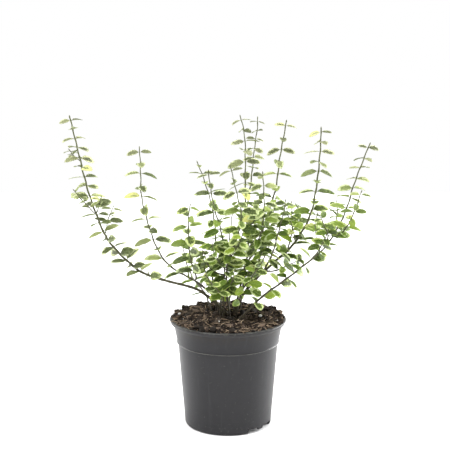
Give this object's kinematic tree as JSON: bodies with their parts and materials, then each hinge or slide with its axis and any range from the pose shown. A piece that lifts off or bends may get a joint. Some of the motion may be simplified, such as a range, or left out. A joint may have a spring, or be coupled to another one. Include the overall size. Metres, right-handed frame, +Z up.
{
  "type": "potted euonymus",
  "caption": "Variegated euonymus shrub: slender arching stems with opposite oval leaves, rooted in soil in a round tapered nursery pot with a rolled lip.",
  "frame": {"origin": "middle of the flat pad under the pot, on the surface that the pot stands on", "axes": "+Z up; -Y is the front, the side the drain notches and the low shoots face; +X to the viewer's right when looking from the front"},
  "size_m": [0.3962, 0.2091, 0.3983],
  "materials": {
    "pot_plastic": "moulded charcoal polypropylene, satin-matte, a little dusty and scuffed",
    "soil_peat": "dark damp peat and bark mix with pale fibres",
    "leaf_variegated": "smooth leathery leaf, green centre with a cream to yellow margin",
    "stem_bark": "thin olive-green to brown bark, slightly rough"
  },
  "bodies": {
    "root": {"nursery_pot": "pot_plastic", "potting_soil": "soil_peat", "stem_left_outer": "leaf_variegated", "stem_left_inner": "leaf_variegated", "stem_centre_left": "leaf_variegated", "stem_centre_front": "leaf_variegated", "stem_front": "leaf_variegated", "stem_centre": "leaf_variegated", "stem_back_right": "leaf_variegated", "stem_right": "leaf_variegated", "stem_right_outer": "leaf_variegated", "shoot_base_front": "leaf_variegated", "shoot_base_left": "leaf_variegated", "shoot_base_right": "leaf_variegated", "shoot_base_back": "leaf_variegated", "shoot_base_back_right": "leaf_variegated", "shoot_left_upright": "leaf_variegated", "shoot_centre_back": "leaf_variegated", "shoot_centre_low": "leaf_variegated", "shoot_right_inner": "leaf_variegated", "shoot_right_low": "leaf_variegated", "shoot_right_upper": "leaf_variegated", "shoot_right_tip": "leaf_variegated", "shoot_right_side": "leaf_variegated", "shoot_left_low": "leaf_variegated", "shoot_front_middle": "leaf_variegated", "shoot_centre_right": "leaf_variegated", "shoot_right_crown": "leaf_variegated", "shoot_outer_low": "leaf_variegated", "shoot_outer_middle": "leaf_variegated", "shoot_crown_front": "leaf_variegated", "shoot_crown_back": "leaf_variegated", "shoot_crown_middle": "leaf_variegated", "shoot_outer_front": "leaf_variegated", "shoot_front_left": "leaf_variegated", "shoot_middle_left": "leaf_variegated", "shoot_low_right": "leaf_variegated", "shoot_low_front": "leaf_variegated", "twig_left_back": "stem_bark", "twig_left_middle": "stem_bark", "twig_left_low": "stem_bark", "twig_left_high": "stem_bark"}
  },
  "joints": []
}
